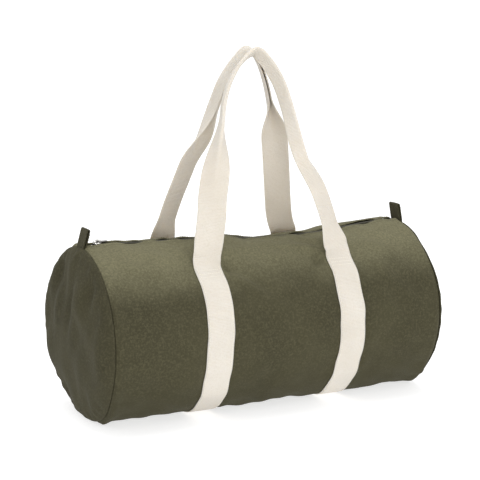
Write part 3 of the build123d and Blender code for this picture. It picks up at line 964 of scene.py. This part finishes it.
def round_outline(half_x, half_y, power, count=40, taper=0.0):
    """Rounded rectangle about the origin, narrower by taper at its far end."""
    a = np.linspace(0, 2 * pi, count, endpoint=False)
    x = np.sign(np.cos(a)) * np.abs(np.cos(a)) ** (2 / power) * half_x
    y = np.sign(np.sin(a)) * np.abs(np.sin(a)) ** (2 / power) * half_y
    return np.stack([x, y * (1 - taper * (x / half_x + 1) / 2)], axis=-1)


def make_slider():
    low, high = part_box("zip_slider")
    middle = np.array([(low.x + high.x) / 2, 0.0])
    base = float(zip_line(np.array([-0.25, -0.2345, -0.22]))[1])
    pin_z = joints["pull_swing"]["pos_m"][2]
    top_low = pin_z - 2.45 * MM
    half_x = (high.x - low.x) / 2
    parts = []
    for name, level in (("upper", top_low), ("lower", base - 2.4 * MM)):
        plate = round_outline(1.1 * half_x, 5.3 * MM, 2.8, taper=0.18) + middle
        parts.append(prism(f"slider_{name}", plate, level, level + 1.2 * MM, NICKEL, bevel=0.35 * MM))
    for sign in (-1, 1):
        wall = round_outline(3.4 * MM, 0.45 * MM, 4.0, 24) + middle + np.array([0.0, sign * 3.75 * MM])
        parts.append(prism(f"slider_wall_{sign + 1}", wall, base + 0.7 * MM, top_low + 0.3 * MM, NICKEL,
                           bevel=0.1 * MM))
    arch_outer = round_outline(5.0 * MM, (pin_z + 3.0 * MM - top_low) / 2, 3.0, 40)
    arch_inner = round_outline(2.7 * MM, 1.15 * MM, 2.6, 40)
    centre = np.array([middle[0], (top_low + pin_z + 3.8 * MM) / 2])
    hole = arch_inner + np.array([middle[0], pin_z])
    parts.append(prism("slider_bridge", arch_outer + centre, -1.5 * MM, 1.5 * MM, NICKEL, hole=hole,
                       bevel=0.3 * MM, axis="y"))
    for part in parts:
        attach(part, "slider")
    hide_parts("zip_slider")


def make_pull():
    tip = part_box("zip_pull")[1].x
    pin_x, _, pin_z = joints["pull_swing"]["pos_m"]
    length = tip - pin_x
    pin_radius, pin_half = 0.75 * MM, 2.3 * MM
    outline = round_outline(length / 2 + 0.5 * MM, 3.3 * MM, 3.6, 40, taper=0.16)
    outline = outline + np.array([pin_x + length / 2 - 0.5 * MM, 0.0])
    window = round_outline(3.3 * MM, 1.75 * MM, 3.0, 40) + np.array([pin_x + 2.9 * MM, 0.0])
    tab = prism("pull_tab", outline, pin_z - 0.75 * MM, pin_z + 0.75 * MM, GUNMETAL, hole=window,
                bevel=0.3 * MM)
    grip = round_outline(3.3 * MM, 2.0 * MM, 3.0, 32) + np.array([tip - 4.6 * MM, 0.0])
    raised = prism("pull_grip", grip, pin_z - 1.0 * MM, pin_z + 1.0 * MM, GUNMETAL, bevel=0.35 * MM)
    turn = np.linspace(0, 2 * pi, 20, endpoint=False)
    verts = [(pin_x + pin_radius * cos(a), y, pin_z + pin_radius * sin(a))
             for y in (-pin_half, pin_half) for a in turn]
    pin = mesh_object("pull_pin", verts, grid_faces(2, len(turn), wrap_columns=True), GUNMETAL)
    for part in (tab, raised, pin):
        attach(part, "pull")
    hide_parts("zip_pull")


def make_stops():
    for name in ("zip_top_stop_front", "zip_top_stop_rear", "zip_bottom_stop"):
        low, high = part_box(name)
        middle = np.array([(low.x + high.x) / 2, (low.y + high.y) / 2])
        base = float(zip_line(np.array([middle[0] - 0.01, middle[0], middle[0] + 0.01]))[1])
        outline = round_outline((high.x - low.x) / 2, (high.y - low.y) / 2, 3.4, 28) + middle
        obj = prism(name.replace("zip_", ""), outline, base - 0.4 * MM, base + COIL_HEIGHT + 0.3 * MM, NICKEL,
                    bevel=0.3 * MM)
        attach(obj, "bag")
        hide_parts(name)


# ---- Camera, floor and light -----------------------------------------------------------
def make_camera():
    yaw, pitch = radians(26.82), radians(10.26)
    data = bpy.data.cameras.new("camera")
    data.sensor_width = 36.0
    data.lens = 112.5
    data.shift_x = -0.0031
    camera = bpy.data.objects.new("camera", data)
    camera.location = (-0.973, -1.902, 0.619)
    camera.rotation_euler = (pi / 2 - pitch, 0.0, -yaw)
    bpy.context.scene.collection.objects.link(camera)
    bpy.context.scene.camera = camera


def make_light(name, location, target, size, power):
    data = bpy.data.lights.new(name, "AREA")
    data.shape = "RECTANGLE"
    data.size, data.size_y = size
    data.energy = power
    light = bpy.data.objects.new(name, data)
    light.location = location
    direction = Vector(target) - Vector(location)
    light.rotation_euler = direction.to_track_quat("-Z", "Y").to_euler()
    bpy.context.scene.collection.objects.link(light)


def make_studio():
    floor_nodes = Nodes("studio_floor")
    place = floor_nodes.place()
    cloud = floor_nodes.noise(place, 3.0, 2.0)
    shade = floor_nodes.mix(cloud, (0.55, 0.55, 0.55), (0.58, 0.58, 0.58))
    floor_nodes.feed(shade, "Base Color")
    floor_nodes.set(floor_nodes.shader, Roughness=0.9, Emission_Strength=0.67)
    floor_nodes.shader.inputs["Emission Color"].default_value = (1.0, 1.0, 1.0, 1.0)
    size = 1000.0
    corners = [(-size, -size, 0), (size, -size, 0), (size, size, 0), (-size, size, 0)]
    floor = mesh_object("floor", corners, [(0, 1, 2, 3)], floor_nodes.material)
    world = bpy.data.worlds.new("studio")
    bpy.context.scene.world = world
    world.use_nodes = True
    background = world.node_tree.nodes["Background"]
    background.inputs["Color"].default_value = (1.0, 1.0, 1.0, 1.0)
    background.inputs["Strength"].default_value = 0.80
    make_light("key", (0.9, -2.0, 2.3), (0, 0, 0.15), (1.2, 1.2), 3.0)
    make_light("fill", (-0.7, -2.4, 0.40), (0, 0, 0.36), (1.0, 0.6), 24.0)
    make_light("top", (0.1, 0.2, 2.3), (0, 0, 0.2), (1.9, 1.5), 30.0)
    bpy.context.scene.view_settings.view_transform = "Standard"


make_camera()
make_studio()
for side in SIDES:
    make_canvas(side)
    make_zip_stitching(side)
    make_tape(side)
    make_coil(side)
    make_webbing(side)
    make_strap_stitching(side)
for end in ENDS:
    make_end_panel(end)
    make_binding(end)
    make_end_loop(end)
make_label()
make_slider()
make_pull()
make_stops()
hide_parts("body_panel")
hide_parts("strap_left")
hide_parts("strap_right")
